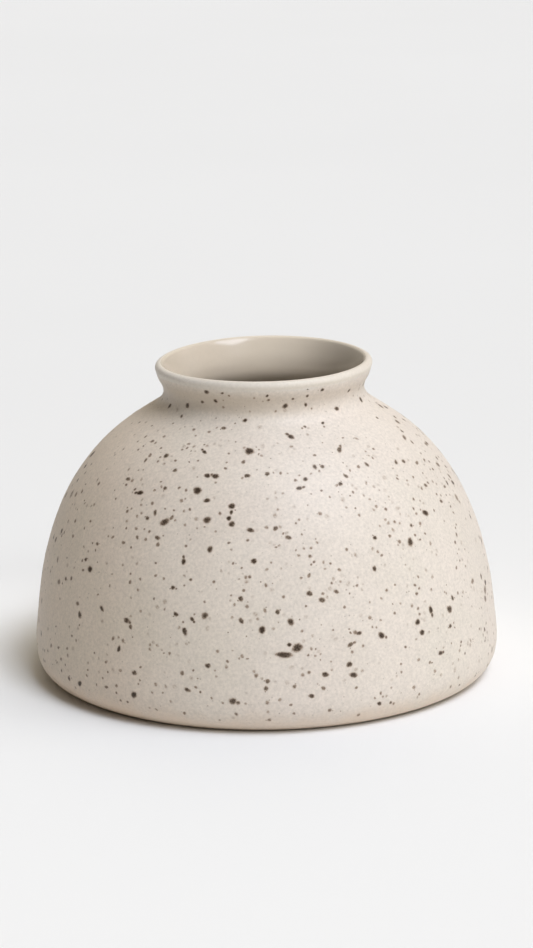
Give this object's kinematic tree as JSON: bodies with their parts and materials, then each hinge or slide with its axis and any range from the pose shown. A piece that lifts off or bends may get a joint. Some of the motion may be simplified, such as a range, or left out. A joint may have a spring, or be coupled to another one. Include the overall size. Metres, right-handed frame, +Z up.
{
  "type": "bud vase",
  "caption": "Squat round stoneware bud vase with a low wide belly, domed shoulder, short waisted neck and thin flared lip; speckled satin glaze outside, glossy glaze inside.",
  "frame": {"origin": "centre of the foot ring, on the plane the vase stands on", "axes": "+Z up along the vase's axis of revolution; X and Y are equal, because the vase is round"},
  "size_m": [0.13, 0.13, 0.0884],
  "materials": {
    "bare_stoneware": "matte",
    "speckled_satin_glaze": "satin",
    "gloss_liner_glaze": "gloss",
    "gloss_underside_glaze": "gloss"
  },
  "bodies": {
    "root": {"stoneware_body": "bare_stoneware", "exterior_glaze": "speckled_satin_glaze", "liner_glaze": "gloss_liner_glaze", "underside_glaze": "gloss_underside_glaze"}
  },
  "joints": []
}
